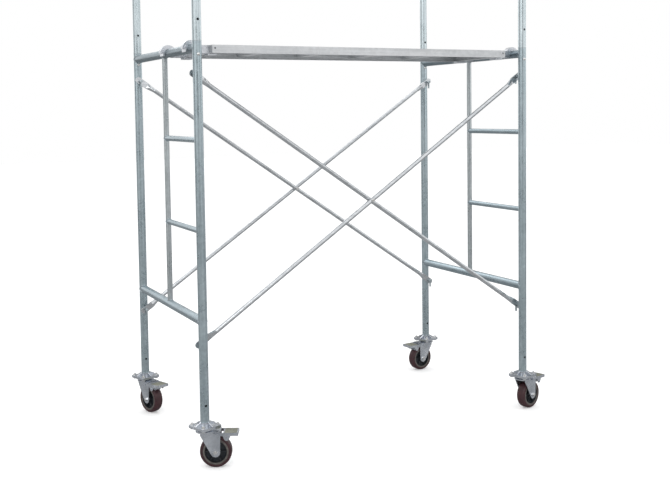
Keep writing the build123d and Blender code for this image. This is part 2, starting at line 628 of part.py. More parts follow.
def tyre():
    """The moulded tread, bonded round the rim."""
    half = WHEEL_WIDTH / 2
    points = [
        (WHEEL_R - TYRE_DEPTH, RIM_WIDTH / 2), (WHEEL_R - TYRE_DEPTH, half),
        (WHEEL_R - TYRE_EDGE, half), (WHEEL_R - TYRE_EDGE / 3, half - TYRE_EDGE / 2),
        (WHEEL_R, half - 1.5 * TYRE_EDGE),
    ]
    return wheel_ring(points)


def brake_pedal():
    """The foot lever: two arms outside the fork, a tread plate and the brake shoe."""
    side = Plane(origin=(0, 0, 0), x_dir=(1, 0, 0), z_dir=(0, -1, 0))
    tread_low = PEDAL_TREAD_Z - PEDAL_SKIRT
    arm_start = Pos(PEDAL_PIVOT_X, PEDAL_PIVOT_Z) * Circle(PEDAL_ARM_HEIGHT / 2).edge()
    tread_mid = (PEDAL_TREAD_START + PEDAL_TREAD_END) / 2
    tread_run = PEDAL_TREAD_END - PEDAL_TREAD_START
    flank = Pos(tread_mid, (PEDAL_TREAD_Z + tread_low) / 2) * Rectangle(tread_run, PEDAL_SKIRT)
    arm_end = Pos(PEDAL_TREAD_START, PEDAL_TREAD_Z - PEDAL_SKIRT / 2) * Rectangle(2 * JOIN_DEPTH, PEDAL_SKIRT)
    shank = make_hull([arm_start, *arm_end.edges()])
    cheek_foot = (Pos(SHOE_X, SHOE_Z) * Circle(SHOE_CHEEK_R)).edge()
    cheek_root = Pos(SHOE_X, tread_low) * Rectangle(3 * SHOE_CHEEK_R, 2 * JOIN_DEPTH)
    cheek = make_hull([cheek_foot, *cheek_root.edges()])
    outline = flank + shank + cheek
    body = extrude(side * outline, PEDAL_OUTER_Y, both=True)
    body -= extrude(side * outline, PEDAL_INNER_Y, both=True)
    tread = Box(tread_run, 2 * PEDAL_OUTER_Y, PEDAL_SHEET)
    body += Pos(tread_mid, 0, PEDAL_TREAD_Z - PEDAL_SHEET / 2) * tread
    nose = Box(PEDAL_SHEET, 2 * PEDAL_OUTER_Y, PEDAL_SKIRT)
    body += Pos(PEDAL_TREAD_END - PEDAL_SHEET / 2, 0, PEDAL_TREAD_Z - PEDAL_SKIRT / 2) * nose
    body += brake_shoe()
    rivet = PEDAL_OUTER_Y + SHOE_RIVET_PROUD
    body += rod((SHOE_X, -rivet, SHOE_Z), (SHOE_X, rivet, SHOE_Z), PEDAL_PIVOT_R)
    hole_r = PEDAL_PIVOT_R + HINGE_CLEARANCE
    across = 2 * PEDAL_OUTER_Y
    return body - rod((PEDAL_PIVOT_X, -across, PEDAL_PIVOT_Z), (PEDAL_PIVOT_X, across, PEDAL_PIVOT_Z), hole_r)


def brake_shoe():
    """A curved pad that follows the tread, carried by the pedal's cross rivet."""
    near = WHEEL_R + SHOE_GAP
    across = SHOE_WIDTH / 2
    outer = rod((TRAIL, -across, WHEEL_R), (TRAIL, across, WHEEL_R), near + SHOE_THICKNESS)
    inner = rod((TRAIL, -WHEEL_R, WHEEL_R), (TRAIL, WHEEL_R, WHEEL_R), near)
    reach = hypot(SHOE_X - TRAIL, SHOE_Z - WHEEL_R)
    toward = degrees(atan2(SHOE_Z - WHEEL_R, SHOE_X - TRAIL))
    window = Box(4 * SHOE_THICKNESS, 2 * SHOE_WIDTH, SHOE_CHEEK_R * 2)
    spot = Pos(TRAIL, 0, WHEEL_R) * Rot(0, -toward, 0) * Pos(reach, 0, 0)
    return (outer - inner) & (spot * window)


def caster_frame(corner):
    """Where a caster's swivelling parts stand: on the post's axis, turned to its trail."""
    side, end, trail = CASTERS[corner]
    return Pos(side * HALF_LENGTH, end * HALF_WIDTH, 0) * Rot(0, 0, trail)


# Write every node

for end, side in POSTS:
    save(f"{end}_{side}_post", lower_post(end, side))
    save(f"{end}_{side}_upper_post", upper_post(end, side))
    for level, spot in zip(("lower", "upper"), stud_spots(end, side)):
        save(f"{end}_{side}_{level}_latch", latch(*spot))
for side in SIDES:
    save(f"{side}_top_rail", rail(side, TOP_RAIL_Z))
    save(f"{side}_bottom_rail", rail(side, LOW_RAIL_Z))
    save(f"{side}_centre_upright", centre_upright(side))
    save(f"{side}_rungs", rungs(side))

save("coupling_pins", [coupling_pin(end, side) for end, side in POSTS])
save("coupling_rivets", [coupling_rivet(end, side) for end, side in POSTS])
save("brace_studs", [brace_stud(*spot) for end, side in POSTS for spot in stud_spots(end, side)])

save("front_falling_brace", brace("front", rising=False, layer=1))
save("front_rising_brace", brace("front", rising=True, layer=-1))
save("back_falling_brace", brace("back", rising=False, layer=-1))
save("back_rising_brace", brace("back", rising=True, layer=1))
save("brace_pivot_bolts", [pivot_bolt(end) for end in ENDS])

save("plank_deck", plank_deck())
save("plank_end_channels", [end_channel(way) for way in (-1, 1)])
save("plank_hooks", [hook(way, across) for way in (-1, 1) for across in (-1, 1)])

save("leg_sockets", [leg_frame(corner) * leg_socket() for corner in CASTERS])
save("caster_top_plates", [leg_frame(corner) * caster_top() for corner in CASTERS])
save("swivel_kingpins", [leg_frame(corner) * kingpin() for corner in CASTERS])
save("plate_bolts", on_bolts(plate_bolt()))
save("hex_nuts", on_bolts(plate_nut()) + [pivot_nut(end) for end in ENDS])

for corner in CASTERS:
    here = caster_frame(corner)
    save(f"{corner}_fork", here * fork())
    save(f"{corner}_axle_bolt", [here * piece for piece in axle_bolt()])
    save(f"{corner}_wheel_core", here * wheel_core())
    save(f"{corner}_tyre", here * tyre())
    save(f"{corner}_brake_pedal", here * brake_pedal())
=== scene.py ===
import json
import math
import random

import bpy
from mathutils import Matrix, Vector


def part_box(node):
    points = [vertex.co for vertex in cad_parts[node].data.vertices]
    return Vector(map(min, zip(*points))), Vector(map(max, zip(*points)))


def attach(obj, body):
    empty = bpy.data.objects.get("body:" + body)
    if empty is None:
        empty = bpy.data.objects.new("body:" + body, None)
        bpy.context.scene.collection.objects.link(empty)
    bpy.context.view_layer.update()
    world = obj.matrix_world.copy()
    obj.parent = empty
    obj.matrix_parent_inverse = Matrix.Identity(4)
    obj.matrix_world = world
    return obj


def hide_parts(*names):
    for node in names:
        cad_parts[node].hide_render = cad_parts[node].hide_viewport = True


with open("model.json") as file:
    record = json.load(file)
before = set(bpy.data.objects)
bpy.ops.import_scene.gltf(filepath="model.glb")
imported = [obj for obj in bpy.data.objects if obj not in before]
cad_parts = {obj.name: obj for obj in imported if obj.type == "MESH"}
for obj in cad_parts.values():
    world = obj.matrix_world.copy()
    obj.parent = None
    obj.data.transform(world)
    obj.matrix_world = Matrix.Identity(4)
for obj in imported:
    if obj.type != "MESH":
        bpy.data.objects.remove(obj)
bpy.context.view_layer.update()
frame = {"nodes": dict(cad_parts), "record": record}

joints = {joint["name"]: joint for joint in frame["record"]["behaviour"]["joints"]}

# A rolling scaffold bay: galvanised ladder frames, crossed braces, a hook-on plank and four casters.
# The frame gives its pieces and their places. This script gives them their finishes, replaces the
# wheels with finer ones and adds the welds, threads, rivets and grips. Lengths are in metres.

MM = 0.001
UP = Vector((0, 0, 1))
ALONG = Vector((1, 0, 0))
ACROSS = Vector((0, 1, 0))
CORNERS = ("front_left", "front_right", "back_left", "back_right")


# Working in edit mode

def object_mode():
    if bpy.context.object and bpy.context.object.mode != "OBJECT":
        bpy.ops.object.mode_set(mode="OBJECT")


def start_fresh():
    object_mode()
    bpy.ops.object.select_all(action="DESELECT")


def pick(piece, rule):
    """Selects the vertices of a piece that meet a rule, and leaves it in edit mode."""
    bpy.ops.object.mode_set(mode="EDIT")
    bpy.ops.mesh.select_mode(type="VERT")
    bpy.ops.mesh.select_all(action="DESELECT")
    bpy.ops.object.mode_set(mode="OBJECT")
    for vertex in piece.data.vertices:
        vertex.select = bool(rule(vertex.co))
    bpy.ops.object.mode_set(mode="EDIT")


def outward(piece):
    bpy.context.view_layer.objects.active = piece
    bpy.ops.object.mode_set(mode="EDIT")
    bpy.ops.mesh.select_all(action="SELECT")
    bpy.ops.mesh.remove_doubles(threshold=2e-6)
    bpy.ops.mesh.normals_make_consistent(inside=False)
    object_mode()


def settle(piece):
    """Puts a piece's place into its mesh."""
    start_fresh()
    piece.select_set(True)
    bpy.context.view_layer.objects.active = piece
    bpy.ops.object.transform_apply(location=True, rotation=True, scale=True)


def lone_point(place):
    """A mesh of one vertex, left in edit mode and selected, for a profile to be drawn from."""
    start_fresh()
    bpy.ops.mesh.primitive_plane_add(size=MM, location=place)
    piece = bpy.context.object
    bpy.ops.object.transform_apply(location=True, rotation=True, scale=True)
    bpy.ops.object.mode_set(mode="EDIT")
    bpy.ops.mesh.select_mode(type="VERT")
    bpy.ops.mesh.select_all(action="SELECT")
    bpy.ops.mesh.merge(type="CENTER")
    return piece


def turned(points, centre=(0, 0, 0), axis=(0, 0, 1), steps=48):
    """A shape turned about an axis. Each point of its profile is a radius and a height along the axis."""
    axis, centre = Vector(axis), Vector(centre)
    out = Vector((1, 0, 0)) if abs(axis.x) < 0.5 else Vector((0, 1, 0))
    line = [centre + out * r + axis * h for r, h in points]
    piece = lone_point(line[0])
    for here, there in zip(line, line[1:]):
        bpy.ops.mesh.extrude_vertices_move(TRANSFORM_OT_translate={"value": there - here})
    bpy.ops.mesh.select_all(action="SELECT")
    bpy.ops.mesh.spin(steps=steps, angle=math.tau, center=centre, axis=axis)
    outward(piece)
    return piece


def block(size, centre, edge=0.0, segments=2):
    """A block, added at its size and place, with its edges rounded."""
    start_fresh()
    bpy.ops.mesh.primitive_cube_add(size=1, location=centre, scale=size)
    piece = bpy.context.object
    bpy.ops.object.transform_apply(location=True, rotation=True, scale=True)
    if edge:
        bpy.ops.object.mode_set(mode="EDIT")
        bpy.ops.mesh.select_all(action="SELECT")
        bpy.ops.mesh.bevel(offset=edge, segments=segments, affect="EDGES")
        object_mode()
    return piece


def copy_at(piece, place):
    """A copy of a finished piece with its own mesh, put at a place."""
    start_fresh()
    piece.select_set(True)
    bpy.context.view_layer.objects.active = piece
    bpy.ops.object.duplicate(linked=False)
    twin = bpy.context.object
    twin.matrix_world = place @ piece.matrix_world
    settle(twin)
    return twin


def joined(pieces):
    start_fresh()
    for piece in pieces:
        piece.select_set(True)
    bpy.context.view_layer.objects.active = pieces[0]
    if len(pieces) > 1:
        bpy.ops.object.join()
    return bpy.context.object


def scrap(piece):
    start_fresh()
    piece.select_set(True)
    bpy.ops.object.delete()


def set_out(piece, places):
    """Copies a piece to each place, joins the copies and throws the pattern away."""
    made = joined([copy_at(piece, place) for place in places])
    scrap(piece)
    return made


def done(piece, name, body, finish, smooth=35):
    """Names a finished piece, smooths it, gives it its finish and lets it ride on a body."""
    start_fresh()
    piece.select_set(True)
    bpy.context.view_layer.objects.active = piece
    bpy.ops.object.shade_smooth_by_angle(angle=math.radians(smooth))
    piece.name = name
    piece.data.name = name
    if finish is not None:
        piece.data.materials.clear()
        piece.data.materials.append(finish)
    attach(piece, body)
    return piece


def axes(x, y, z, at):
    """The place whose own X, Y and Z point along three directions."""
    rows = [(x[i], y[i], z[i], at[i]) for i in range(3)]
    return Matrix(rows + [(0, 0, 0, 1)])


# Finishes

def new_finish(name):
    finish = bpy.data.materials.new(name)
    finish.use_nodes = True
    tree = finish.node_tree
    shader = tree.nodes["Principled BSDF"]
    coords = tree.nodes.new("ShaderNodeTexCoord")
    return finish, tree, shader, coords.outputs["Object"]


def turned_coords(tree, coords, scale=(1, 1, 1), turn=(0, 0, 0)):
    mapping = tree.nodes.new("ShaderNodeMapping")
    mapping.inputs["Scale"].default_value = scale
    mapping.inputs["Rotation"].default_value = turn
    tree.links.new(coords, mapping.inputs["Vector"])
    return mapping.outputs["Vector"]


def noise(tree, coords, scale, detail=4.0, rough=0.55, distortion=0.0):
    node = tree.nodes.new("ShaderNodeTexNoise")
    node.inputs["Scale"].default_value = scale
    node.inputs["Detail"].default_value = detail
    node.inputs["Roughness"].default_value = rough
    node.inputs["Distortion"].default_value = distortion
    tree.links.new(coords, node.inputs["Vector"])
    return node.outputs["Fac"]


def crystals(tree, coords, scale):
    """Flat cells, each with its own grey."""
    node = tree.nodes.new("ShaderNodeTexVoronoi")
    node.inputs["Scale"].default_value = scale
    node.inputs["Randomness"].default_value = 1.0
    tree.links.new(coords, node.inputs["Vector"])
    grey = tree.nodes.new("ShaderNodeSeparateColor")
    tree.links.new(node.outputs["Color"], grey.inputs["Color"])
    return grey.outputs["Red"]


def ramp(tree, value, *stops):
    node = tree.nodes.new("ShaderNodeValToRGB")
    band = node.color_ramp
    while len(band.elements) < len(stops):
        band.elements.new(0.5)
    for element, (place, colour) in zip(band.elements, stops):
        element.position = place
        element.color = (*colour, 1)
    tree.links.new(value, node.inputs["Fac"])
    return node.outputs["Color"]


def span(tree, value, low, high, start=0.0, end=1.0):
    node = tree.nodes.new("ShaderNodeMapRange")
    for socket, number in (("From Min", start), ("From Max", end), ("To Min", low), ("To Max", high)):
        node.inputs[socket].default_value = number
    tree.links.new(value, node.inputs["Value"])
    return node.outputs["Result"]


def blend_colours(tree, share, a, b, way="MIX"):
    node = tree.nodes.new("ShaderNodeMix")
    node.data_type, node.blend_type = "RGBA", way
    sockets = {s.identifier: s for s in node.inputs}
    for key, item in (("Factor_Float", share), ("A_Color", a), ("B_Color", b)):
        if hasattr(item, "is_linked"):
            tree.links.new(item, sockets[key])
        elif isinstance(item, (int, float)):
            sockets[key].default_value = item
        else:
            sockets[key].default_value = (*item, 1)
    return {s.identifier: s for s in node.outputs}["Result_Color"]


def arithmetic(tree, operation, a, b):
    node = tree.nodes.new("ShaderNodeMath")
    node.operation = operation
    for socket, item in zip(node.inputs, (a, b)):
        if hasattr(item, "is_linked"):
            tree.links.new(item, socket)
        else:
            socket.default_value = item
    return node.outputs["Value"]


def relief(tree, shader, height, strength, distance):
    node = tree.nodes.new("ShaderNodeBump")
    node.inputs["Strength"].default_value = strength
    node.inputs["Distance"].default_value = distance
    tree.links.new(height, node.inputs["Height"])
    tree.links.new(node.outputs["Normal"], shader.inputs["Normal"])


def zinc(name, dark, light, grain=(1, 1, 1), turn=(0, 0, 0), smooth=0.3, rough=0.5, spangle=95.0,
         spangle_share=0.2, streak_share=0.5, metallic=0.95, stain=(0.30, 0.29, 0.27), stain_share=0.2):
    """Zinc over steel: crystals, drawn streaks, cloudy wear and a few dull stains.

    Grain stretches the streaks and turn turns them. The shares say how much crystals and streaks
    count in the colour, and cloudy wear has the rest.
    """
    finish, tree, shader, coords = new_finish(name)
    cells = crystals(tree, coords, spangle)
    cloud = noise(tree, coords, 7.0, 6.0, 0.6, 0.4)
    drawn = noise(tree, turned_coords(tree, coords, grain, turn), 9.0, 5.0, 0.65)
    fine = noise(tree, coords, 420.0, 3.0, 0.6)
    marks = noise(tree, coords, 16.0, 7.0, 0.7, 1.2)

    cloud_share = 1.0 - streak_share - spangle_share
    streaks = arithmetic(tree, "MULTIPLY", span(tree, drawn, 0, 1, 0.3, 0.7), streak_share)
    spangles = arithmetic(tree, "MULTIPLY", cells, spangle_share)
    clouds = arithmetic(tree, "MULTIPLY", span(tree, cloud, 0, 1, 0.3, 0.7), cloud_share)
    level = arithmetic(tree, "ADD", arithmetic(tree, "ADD", streaks, spangles), clouds)
    between = tuple((a + b) / 2 for a, b in zip(dark, light))
    colour = ramp(tree, level, (0.15, dark), (0.5, between), (0.85, light))
    dull = span(tree, marks, 0, stain_share, 0.56, 0.74)
    tree.links.new(blend_colours(tree, dull, colour, stain), shader.inputs["Base Color"])
    shader.inputs["Metallic"].default_value = metallic

    worn = span(tree, cloud, smooth, rough, 0.3, 0.7)
    shine = arithmetic(tree, "ADD", span(tree, cells, -0.03, 0.03), worn)
    tree.links.new(shine, shader.inputs["Roughness"])

    grit = arithmetic(tree, "MULTIPLY", fine, 0.4)
    heights = arithmetic(tree, "ADD", arithmetic(tree, "MULTIPLY", cells, 0.2), grit)
    relief(tree, shader, arithmetic(tree, "ADD", heights, drawn), 0.07, 0.00018)
    return finish


def moulded(name, dark, light, rough_low, rough_high, scale=60.0, dust=(0.42, 0.38, 0.36),
            dust_share=0.15, metallic=0.0, relief_depth=0.0003):
    """A moulded, cast or painted surface: soft mottle, fine pits and some dust in patches."""
    finish, tree, shader, coords = new_finish(name)
    mottle = noise(tree, coords, scale, 6.0, 0.6, 0.3)
    pits = noise(tree, coords, 900.0, 3.0, 0.7)
    film = span(tree, noise(tree, coords, 22.0, 8.0, 0.75, 0.8), 0, dust_share, 0.45, 0.7)
    colour = ramp(tree, mottle, (0.3, dark), (0.7, light))
    tree.links.new(blend_colours(tree, film, colour, dust), shader.inputs["Base Color"])
    tree.links.new(span(tree, mottle, rough_low, rough_high, 0.3, 0.7), shader.inputs["Roughness"])
    shader.inputs["Metallic"].default_value = metallic
    relief(tree, shader, arithmetic(tree, "ADD", pits, mottle), 0.3, relief_depth)
    return finish


# Streaks run up a post, across a frame along a rail, or along the bay.
UP_GRAIN, ACROSS_GRAIN, ALONG_GRAIN = (9, 9, 0.35), (9, 0.35, 9), (0.25, 9, 9)

upper_left, lower_left, upper_right = (Vector(joints[f"front_{side}_latch_flip"]["pos_m"])
                                       for side in ("left_upper", "left_lower", "right_upper"))
brace_tilt = math.atan2(upper_left.z - lower_left.z, upper_right.x - upper_left.x)


def bright_brace(name, tilt):
    """Bright zinc, drawn along a brace that climbs or falls along the bay."""
    return zinc(name, (0.50, 0.52, 0.54), (0.76, 0.785, 0.81), ALONG_GRAIN, (0, tilt, 0), 0.14, 0.26,
                spangle_share=0.1, streak_share=0.6, stain_share=0.12)


galvanised_post = zinc("galvanised_post", (0.36, 0.44, 0.475), (0.60, 0.695, 0.735), UP_GRAIN,
                       smooth=0.24, rough=0.38)
# The upper posts' zinc is lighter than that of the posts below them.
galvanised_lighter_upper_post = zinc("galvanised_lighter_upper_post", (0.50, 0.585, 0.615), (0.74, 0.82, 0.85), UP_GRAIN,
                           smooth=0.22, rough=0.36, streak_share=0.35)
galvanised_rail = zinc("galvanised_rail", (0.26, 0.325, 0.36), (0.47, 0.555, 0.60), ACROSS_GRAIN,
                       smooth=0.24, rough=0.38)
# The top rails get the rails' zinc painted darker: a painted dark reflection, standing for the dark
# surroundings these rails mirror.
top_rail_painted_shade = zinc("top_rail_painted_shade", (0.16, 0.205, 0.235), (0.31, 0.375, 0.41), ACROSS_GRAIN,
                           smooth=0.26, rough=0.4)
galvanised_upright = zinc("galvanised_upright", (0.42, 0.46, 0.475), (0.66, 0.71, 0.725), UP_GRAIN,
                          smooth=0.26, rough=0.4)
galvanised_small = zinc("galvanised_small", (0.40, 0.455, 0.48), (0.66, 0.73, 0.755), spangle=160.0,
                        smooth=0.26, rough=0.4)
bright_falling = bright_brace("bright_brace_falling", -brace_tilt)
bright_rising = bright_brace("bright_brace_rising", brace_tilt)
plank_zinc = zinc("plank_sheet_zinc", (0.54, 0.555, 0.57), (0.76, 0.775, 0.79), (0.3, 8, 8), smooth=0.34,
                  rough=0.5, spangle=60.0, metallic=0.8, stain=(0.33, 0.305, 0.28), stain_share=0.18)
pressed_zinc = zinc("pressed_zinc", (0.46, 0.49, 0.535), (0.80, 0.83, 0.88), (2, 2, 2), smooth=0.12,
                    rough=0.28, spangle=220.0, spangle_share=0.12, stain=(0.36, 0.33, 0.32))
hook_zinc = zinc("hook_zinc", (0.48, 0.50, 0.53), (0.78, 0.80, 0.84), spangle=160.0, smooth=0.24,
                 rough=0.38)
# The plank's rivet heads are coloured near black, far darker than the sheet round them.
near_black_rivet = zinc("near_black_rivet", (0.10, 0.11, 0.12), (0.26, 0.28, 0.30), (4, 4, 4), smooth=0.3,
                  rough=0.45, spangle=300.0)
bright_fastener = zinc("bright_fastener", (0.6, 0.6, 0.6), (0.92, 0.92, 0.91), (6, 6, 6), smooth=0.16,
                       rough=0.3, spangle=300.0, spangle_share=0.1, stain=(0.36, 0.33, 0.28),
                       stain_share=0.3)
weld_metal = zinc("weld_metal", (0.30, 0.345, 0.375), (0.70, 0.76, 0.79), (1, 1, 1), smooth=0.28,
                  rough=0.44, spangle=330.0, spangle_share=0.5, streak_share=0.25)
tread_maroon = moulded("tread_maroon", (0.024, 0.006, 0.009), (0.05, 0.012, 0.016), 0.34, 0.5,
                       dust=(0.14, 0.10, 0.10), dust_share=0.1)
rim_grey = moulded("rim_grey", (0.065, 0.06, 0.055), (0.125, 0.115, 0.105), 0.42, 0.6,
                   dust=(0.25, 0.22, 0.2), metallic=0.2)
hub_black = moulded("hub_black", (0.008, 0.011, 0.015), (0.024, 0.030, 0.037), 0.3, 0.48,
                    dust_share=0.08, metallic=0.3)
grip_olive = moulded("pedal_grip_olive", (0.15, 0.155, 0.12), (0.27, 0.275, 0.22), 0.32, 0.5,
                     dust=(0.3, 0.29, 0.26), metallic=0.5)

# A node's finish goes by the first ending that its name has.
FINISHES = {
    "_upper_post": galvanised_lighter_upper_post,
    "_post": galvanised_post,
    "_top_rail": top_rail_painted_shade,
    "_bottom_rail": galvanised_rail,
    "_centre_upright": galvanised_upright,
    "_rungs": galvanised_rail,
    "coupling_pins": galvanised_small,
    "coupling_rivets": bright_fastener,
    "brace_studs": galvanised_small,
    "_falling_brace": bright_falling,
    "_rising_brace": bright_rising,
    "_latch": galvanised_small,
    "brace_pivot_bolts": bright_fastener,
    "plank_deck": plank_zinc,
    "plank_end_channels": plank_zinc,
    "plank_hooks": hook_zinc,
    "leg_sockets": pressed_zinc,
    "caster_top_plates": pressed_zinc,
    "swivel_kingpins": bright_fastener,
    "plate_bolts": bright_fastener,
    "hex_nuts": bright_fastener,
    "_fork": pressed_zinc,
    "_axle_bolt": bright_fastener,
    "_wheel_core": hub_black,
    "_tyre": tread_maroon,
    "_brake_pedal": pressed_zinc,
}
for name, node in frame["nodes"].items():
    finish = next(FINISHES[ending] for ending in FINISHES if name.endswith(ending))
    for place in node.material_slots:
        place.material = finish
    if not node.material_slots:
        node.data.materials.append(finish)


# Places that the frame gives

def middle(name):
    low, high = (Vector(corner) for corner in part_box(name))
    return (low + high) / 2, (high - low) / 2


def caster_place(corner):
    """A caster's own frame: its swivel axis on Z, its wheel trailing along +X, the floor at Z 0."""
    roll = Vector(joints[f"{corner}_wheel_roll"]["axis"]).normalized()
    swivel = Vector(joints[f"{corner}_swivel_turn"]["pos_m"])
    return axes(roll.cross(UP), roll, UP, Vector((swivel.x, swivel.y, 0)))


places = {corner: caster_place(corner) for corner in CORNERS}
roll_place = Vector(joints["front_left_wheel_roll"]["pos_m"])
swivel_place = Vector(joints["front_left_swivel_turn"]["pos_m"])
AXLE = Vector(((roll_place - swivel_place).xy.length, 0, roll_place.z))
posts = {corner: middle(f"{corner}_post")[0] for corner in CORNERS}
post_r = middle("front_left_post")[1].x
rung_r = middle("left_centre_upright")[1].x
rail_heights = [middle("left_bottom_rail")[0].z, middle("left_top_rail")[0].z]
rungs_low, rungs_high = (Vector(corner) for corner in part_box("left_rungs"))
rung_heights = [rungs_low.z + rung_r, rungs_high.z - rung_r]
stud_heights = [lower_left.z, upper_left.z]


# Weld beads

def weld_bead(branch_r, main_r, thick, columns=32):
    """A bead round a tube that runs up Z from a main tube along X.

    It starts as a ring, and each of its columns is moved down on to the joint, not quite evenly.
    """
    start_fresh()
    bpy.ops.mesh.primitive_torus_add(major_radius=branch_r + 0.3 * thick, minor_radius=thick,
                                     major_segments=columns, minor_segments=10)
    bead = bpy.context.object
    for column in range(columns):
        angle = math.tau * column / columns
        side = Vector((math.cos(angle), math.sin(angle), 0))
        reach = branch_r * math.sin(angle)
        lift = math.sqrt(max(main_r ** 2 - reach ** 2, 0)) + 0.3 * thick
        wander = thick * random.uniform(-0.25, 0.25)
        pick(bead, lambda co: co.xy.normalized().dot(side.xy) > 0.9999)
        bpy.ops.transform.translate(value=side * wander * 0.5 + UP * (lift + wander))
    outward(bead)
    return bead


STUD_FOOT_R = 11.5 * MM
RAIL_BEAD = 2.4 * MM
RUNG_BEAD = 2.0 * MM
STUD_BEAD = 1.8 * MM

random.seed(11)
bead_rail = weld_bead(post_r, post_r, RAIL_BEAD)
bead_rung_post = weld_bead(rung_r, post_r, RUNG_BEAD)
bead_rung_upright = weld_bead(rung_r, rung_r, RUNG_BEAD)
bead_stud = weld_bead(STUD_FOOT_R, post_r, STUD_BEAD, columns=24)


def on_post(post, out, height):
    """The place of a bead on a tube along Z, round a tube that leaves it along out."""
    return axes(UP, out.cross(UP), out, (post.x, post.y, height))


rail_joints, stud_joints = [], []
for post in posts.values():
    inward = ACROSS if post.y < 0 else -ACROSS
    rail_joints += [on_post(post, inward, height) for height in rail_heights]
    stud_joints += [on_post(post, inward, height) for height in stud_heights]
rung_post_joints, rung_upright_joints, upright_joints = [], [], []
for corner in ("front_left", "front_right"):
    post = posts[corner]
    upright = Vector((post.x, 0, 0))
    for height in rung_heights:
        rung_post_joints.append(on_post(post, ACROSS, height))
        rung_upright_joints.append(on_post(upright, -ACROSS, height))
    for way, height in zip((UP, -UP), rail_heights):
        upright_joints.append(axes(ACROSS, way.cross(ACROSS), way, (post.x, 0, height)))
bead_upright = copy_at(bead_rung_post, Matrix.Identity(4))
beads = joined([set_out(bead_rail, rail_joints), set_out(bead_rung_post, rung_post_joints),
                set_out(bead_rung_upright, rung_upright_joints), set_out(bead_upright, upright_joints),
                set_out(bead_stud, stud_joints)])
done(beads, "frame_weld_beads", "frame", weld_metal, 60)


# Wheels

WHEEL_R = AXLE.z - 0.02 * MM          # just clear of the floor
CORE_R = WHEEL_R - 14 * MM            # where the tread's inside meets the core
TREAD_HALF = 25 * MM                  # half the width of the tread, of the rim and of the hub
RIM_HALF = 24 * MM
HUB_HALF = 28.5 * MM
WEB_REACH = CORE_R - 9.8 * MM         # black inside this radius, grey from it on
WHEEL_STEPS = 96
WHEEL_RIBS = 6


def both_sides(side):
    """A closed profile from the points of one side, mirrored to the other."""
    return side + [(r, -h) for r, h in reversed(side[1:-1])] + [side[0]]


def tyre():
    """The moulded tread, crowned, with a rounded shoulder and a fine step in its side."""
    edge, half = WHEEL_R - CORE_R, TREAD_HALF
    side = [
        (CORE_R, 0.0), (CORE_R, half - 1.2 * MM), (CORE_R + 0.8 * MM, half - 0.3 * MM),
        (CORE_R + 2 * MM, half), (CORE_R + 0.4 * edge, half), (CORE_R + 0.44 * edge, half - 0.7 * MM),
        (CORE_R + 0.5 * edge, half - 0.7 * MM), (CORE_R + 0.66 * edge, half - 1.6 * MM),
        (CORE_R + 0.82 * edge, half - 4.2 * MM), (WHEEL_R - 0.9 * MM, half - 8 * MM),
        (WHEEL_R - 0.2 * MM, half - 13 * MM), (WHEEL_R, 0.0),
    ]
    return turned(both_sides(side), AXLE, ACROSS, WHEEL_STEPS)


def wheel_core():
    """The cast core: hub, dished web with ribs and a flanged rim."""
    side = [
        (7 * MM, 0.0), (7 * MM, HUB_HALF - 1.5 * MM), (9 * MM, HUB_HALF - 1.5 * MM), (9 * MM, HUB_HALF),
        (15 * MM, HUB_HALF), (16.5 * MM, HUB_HALF - 1.5 * MM), (18.5 * MM, 9 * MM), (22 * MM, 7 * MM),
        (CORE_R - 14 * MM, 6.5 * MM), (CORE_R - 11 * MM, 9 * MM), (CORE_R - 9.5 * MM, RIM_HALF - 1.5 * MM),
        (CORE_R - 8.5 * MM, RIM_HALF), (CORE_R - 2 * MM, RIM_HALF),
        (CORE_R - 0.1 * MM, RIM_HALF - 1.6 * MM), (CORE_R - 0.1 * MM, 0.0),
    ]
    core = turned(both_sides(side), AXLE, ACROSS, WHEEL_STEPS)
    rib_start, rib_end = 15 * MM, CORE_R - 9 * MM
    rib_middle = AXLE + ALONG * (rib_start + rib_end) / 2
    rib = block((rib_end - rib_start, 34 * MM, 5 * MM), rib_middle, 1.2 * MM)
    there, back = Matrix.Translation(AXLE), Matrix.Translation(-AXLE)
    turns = [there @ Matrix.Rotation(math.tau * n / WHEEL_RIBS, 4, "Y") @ back for n in range(WHEEL_RIBS)]
    return joined([core, set_out(rib, turns)])


def two_finishes(piece, first, second, rule):
    """Gives the faces of a piece that meet a rule its second finish."""
    piece.data.materials.clear()
    piece.data.materials.append(first)
    piece.data.materials.append(second)
    for face in piece.data.polygons:
        face.material_index = 1 if rule(face.center) else 0


def to_axle(point):
    return Vector((point.x - AXLE.x, 0, point.z - AXLE.z)).length


tyre_pattern = tyre()
core_pattern = wheel_core()
two_finishes(core_pattern, hub_black, rim_grey, lambda point: to_axle(point) > WEB_REACH)
for corner, place in places.items():
    wheel = f"{corner}_wheel"
    fresh = copy_at(tyre_pattern, place)
    done(fresh, f"{corner}_moulded_tyre", wheel, tread_maroon, 50)
    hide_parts(f"{corner}_tyre")
    fresh = copy_at(core_pattern, place)
    done(fresh, f"{corner}_cast_core", wheel, None, 40)
    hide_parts(f"{corner}_wheel_core")
scrap(tyre_pattern)
scrap(core_pattern)


# Bolt threads

def thread(radius, length, pitch):
    """A screw thread along +Z."""
    depth = 0.55 * pitch
    turns = max(2, round(length / pitch) - 1)
    ridge = lone_point((radius - 0.1 * MM, 0, 0))
    for step in ((depth, 0, 0.5 * pitch), (-depth, 0, 0.5 * pitch)):
        bpy.ops.mesh.extrude_vertices_move(TRANSFORM_OT_translate={"value": step})
    bpy.ops.mesh.select_all(action="SELECT")
    bpy.ops.mesh.screw(steps=18, turns=turns, center=(0, 0, 0), axis=(0, 0, 1))
    outward(ridge)
    return ridge


BOLT_R = 5 * MM
BOLT_SPACING = 84 * MM                # between the bolts of a caster's plates
BOLT_SHOWS = 5 * MM                   # of a bolt, above its nut
PLATE_TURN = math.radians(18.5)       # of a caster's plates, about the post
THREAD_PITCH = 1.5 * MM

